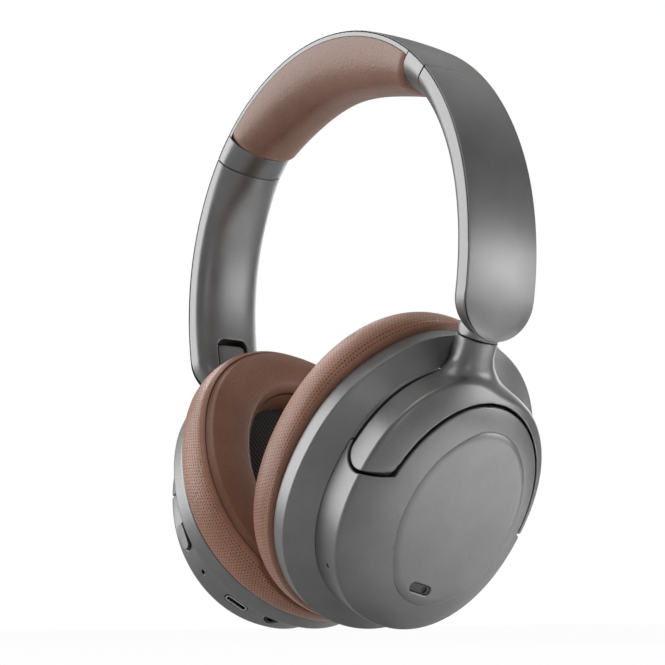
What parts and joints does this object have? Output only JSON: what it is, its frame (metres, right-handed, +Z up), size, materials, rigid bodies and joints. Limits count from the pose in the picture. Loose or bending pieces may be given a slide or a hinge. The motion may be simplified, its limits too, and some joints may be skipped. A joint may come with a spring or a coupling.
{
  "type": "over-ear headphones",
  "caption": "Over-ear headphones with a padded headband, sliding arms, swivelling forks and oval ear cups with leather cushions.",
  "frame": {"origin": "underside of the headband pad at the middle of the headband, where it rests on the head", "axes": "+X towards the wearer's left ear, +Z up along the head, -Y towards the wearer's face"},
  "size_m": [0.1592, 0.0901, 0.1982],
  "materials": {
    "grey_paint": "satin metallic paint on plastic, dark grey",
    "silver_paint": "satin metallic paint on plastic, silver grey",
    "brown_leather": "soft protein leather, perforated on the cushions' sides and pebbled on the pad",
    "steel": "brushed",
    "black_plastic": "fine matt texture",
    "dark_cloth": "woven acoustic cloth with slanting stripes",
    "cell_wrap": "shrink wrap",
    "board_green": "solder mask"
  },
  "bodies": {
    "headband": {"headband_cover": "grey_paint", "headband_frame": "silver_paint", "spring_band": "steel", "headband_pad": "brown_leather", "collar_left": "grey_paint", "collar_right": "grey_paint"},
    "left_arm": {"arm_cover_left": "grey_paint", "arm_shell_left": "silver_paint", "slider_strip_left": "steel", "knuckle_left": "silver_paint", "fold_pin_left": "steel", "swivel_shaft_left": "steel"},
    "left_fork": {"fork_left": "grey_paint", "pivot_pin_front_left": "steel", "pivot_pin_rear_left": "steel"},
    "left_cup": {"cup_housing_left": "silver_paint", "cup_shell_left": "grey_paint", "cup_plate_left": "grey_paint", "mic_insert_left": "black_plastic", "baffle_left": "black_plastic", "baffle_screw_1_left": "steel", "baffle_screw_2_left": "steel", "baffle_screw_3_left": "steel", "baffle_screw_4_left": "steel", "driver_left": "black_plastic", "cushion_ring_left": "black_plastic", "mesh_cloth_left": "dark_cloth", "ear_cushion_left": "brown_leather", "battery": "cell_wrap"},
    "right_arm": {"arm_cover_right": "grey_paint", "arm_shell_right": "silver_paint", "slider_strip_right": "steel", "knuckle_right": "silver_paint", "fold_pin_right": "steel", "swivel_shaft_right": "steel"},
    "right_fork": {"fork_right": "grey_paint", "pivot_pin_front_right": "steel", "pivot_pin_rear_right": "steel"},
    "right_cup": {"cup_housing_right": "silver_paint", "cup_shell_right": "grey_paint", "cup_plate_right": "grey_paint", "mic_insert_right": "black_plastic", "baffle_right": "black_plastic", "baffle_screw_1_right": "steel", "baffle_screw_2_right": "steel", "baffle_screw_3_right": "steel", "baffle_screw_4_right": "steel", "driver_right": "black_plastic", "cushion_ring_right": "black_plastic", "mesh_cloth_right": "dark_cloth", "ear_cushion_right": "brown_leather", "main_board": "board_green", "usb_port": "steel", "jack_socket": "black_plastic"},
    "button": {"mode_button": "grey_paint"}
  },
  "joints": [
    {"name": "left_extension", "type": "slide", "parent": "headband", "child": "left_arm", "axis": [0.682, 0, -0.7313], "range_m": [0, 0.024]},
    {"name": "left_swivel", "type": "hinge", "parent": "left_arm", "child": "left_fork", "pos_m": [0.0657, 0, -0.09271], "axis": [0.4509, 0, 0.8926], "range_deg": [-8, 8]},
    {"name": "left_tilt", "type": "hinge", "parent": "left_fork", "child": "left_cup", "pos_m": [0.05131, 0.00061, -0.13427], "axis": [-0.0691, 0.9683, -0.2399], "range_deg": [-24, 0]},
    {"name": "right_extension", "type": "slide", "parent": "headband", "child": "right_arm", "axis": [-0.682, 0, -0.7313], "range_m": [0, 0.024]},
    {"name": "right_swivel", "type": "hinge", "parent": "right_arm", "child": "right_fork", "pos_m": [-0.0657, 0, -0.09271], "axis": [0.4509, 0, -0.8926], "range_deg": [-8, 8]},
    {"name": "right_tilt", "type": "hinge", "parent": "right_fork", "child": "right_cup", "pos_m": [-0.05131, 0.00061, -0.13427], "axis": [-0.0691, -0.9683, 0.2399], "range_deg": [-24, 0]},
    {"name": "mode_press", "type": "slide", "parent": "right_cup", "child": "button", "axis": [-0.0769, 0.996, 0.0462], "range_m": [0, 0.0005], "stiffness_N_per_m": 400}
  ]
}
